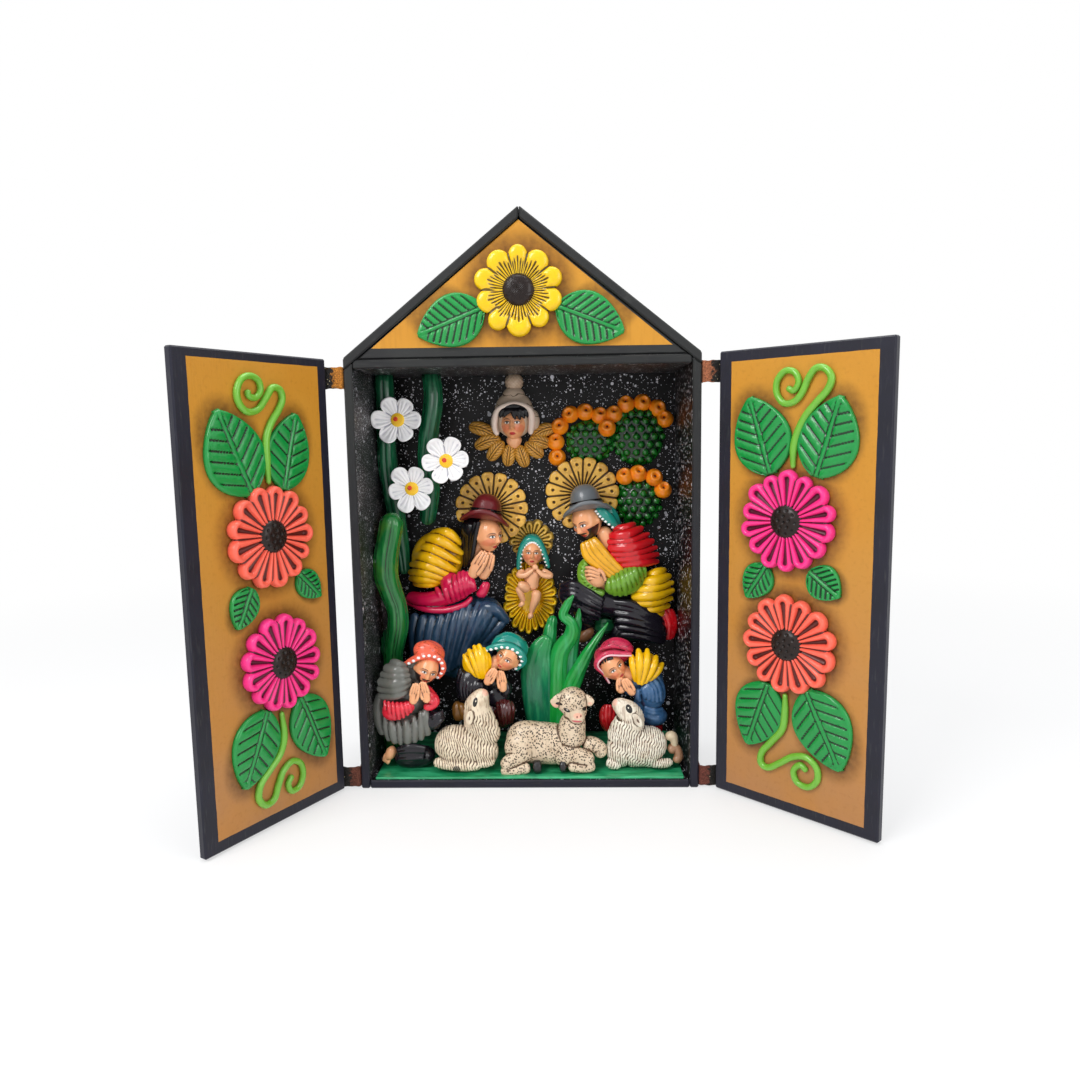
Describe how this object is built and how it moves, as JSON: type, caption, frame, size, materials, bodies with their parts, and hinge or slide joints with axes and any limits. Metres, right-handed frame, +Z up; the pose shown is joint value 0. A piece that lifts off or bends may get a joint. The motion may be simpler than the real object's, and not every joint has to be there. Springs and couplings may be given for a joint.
{
  "type": "retablo box",
  "caption": "Gabled wooden retablo case with two strap-hinged painted doors that fold shut over a niche of modelled, painted paste figures, plants and sheep.",
  "frame": {"origin": "centre of the case's underside, on the surface it stands on", "axes": "+Z up, +X to the right of someone facing the open case, -Y out of its front"},
  "size_m": [0.3416, 0.1664, 0.3315],
  "materials": {
    "black_paint": "satin",
    "speckled_paint": "satin",
    "ochre_paint": "satin",
    "leather": "matte",
    "leaf_green": "gloss",
    "tendril_green": "gloss",
    "coral_paint": "gloss",
    "magenta_paint": "gloss",
    "yellow_paint": "gloss",
    "cactus_green": "gloss",
    "white_paint": "gloss",
    "prickly_green": "gloss",
    "gold_paint": "satin",
    "straw_paint": "satin",
    "blue_paint": "gloss",
    "charcoal_paint": "gloss",
    "grey_paint": "gloss",
    "maroon_paint": "gloss",
    "red_paint": "gloss",
    "fleece_paint": "gloss"
  },
  "bodies": {
    "case": {"floor_board": "black_paint", "left_side_board": "speckled_paint", "right_side_board": "speckled_paint", "ceiling_shelf": "black_paint", "left_roof_board": "black_paint", "right_roof_board": "black_paint", "back_board": "speckled_paint", "gable_panel": "ochre_paint", "left_upper_strap": "leather", "left_lower_strap": "leather", "right_upper_strap": "leather", "right_lower_strap": "leather", "gable_leaf_left": "leaf_green", "gable_leaf_right": "leaf_green", "short_cactus": "leaf_green", "gable_flower": "yellow_paint", "grass_base": "cactus_green", "tall_cactus_left": "cactus_green", "tall_cactus_right": "cactus_green", "agave": "cactus_green", "white_flower_upper": "white_paint", "white_flower_middle": "white_paint", "white_flower_lower": "white_paint", "prickly_pear_upper": "prickly_green", "prickly_pear_lower": "prickly_green", "woman_halo": "gold_paint", "man_halo": "gold_paint", "cherub": "gold_paint", "infant_on_straw": "straw_paint", "kneeling_woman": "blue_paint", "kneeling_man": "charcoal_paint", "left_shepherd": "grey_paint", "middle_shepherdess": "maroon_paint", "right_shepherdess": "red_paint", "left_sheep": "fleece_paint", "middle_sheep": "fleece_paint", "right_sheep": "fleece_paint"},
    "left_door": {"left_door": "ochre_paint", "left_door_upper_flower": "coral_paint", "left_door_upper_tendril": "tendril_green", "left_door_upper_leaf_inner": "leaf_green", "left_door_upper_leaf_outer": "leaf_green", "left_door_small_leaf_inner": "leaf_green", "left_door_small_leaf_outer": "leaf_green", "left_door_lower_flower": "magenta_paint", "left_door_lower_leaf_inner": "leaf_green", "left_door_lower_leaf_outer": "leaf_green", "left_door_lower_tendril": "tendril_green"},
    "right_door": {"right_door": "ochre_paint", "right_door_upper_flower": "magenta_paint", "right_door_upper_tendril": "tendril_green", "right_door_upper_leaf_inner": "leaf_green", "right_door_upper_leaf_outer": "leaf_green", "right_door_small_leaf_inner": "leaf_green", "right_door_small_leaf_outer": "leaf_green", "right_door_lower_flower": "coral_paint", "right_door_lower_leaf_inner": "leaf_green", "right_door_lower_leaf_outer": "leaf_green", "right_door_lower_tendril": "tendril_green"}
  },
  "joints": [
    {"name": "left_door_hinge", "type": "hinge", "parent": "case", "child": "left_door", "pos_m": [-0.10379, -0.03808, 0], "axis": [0, 0, 1], "range_deg": [-80, 119.1], "deforming": ["left_upper_strap", "left_lower_strap"]},
    {"name": "right_door_hinge", "type": "hinge", "parent": "case", "child": "right_door", "pos_m": [0.10371, -0.03908, 0], "axis": [0, 0, -1], "range_deg": [-64, 135.4], "deforming": ["right_upper_strap", "right_lower_strap"]}
  ]
}
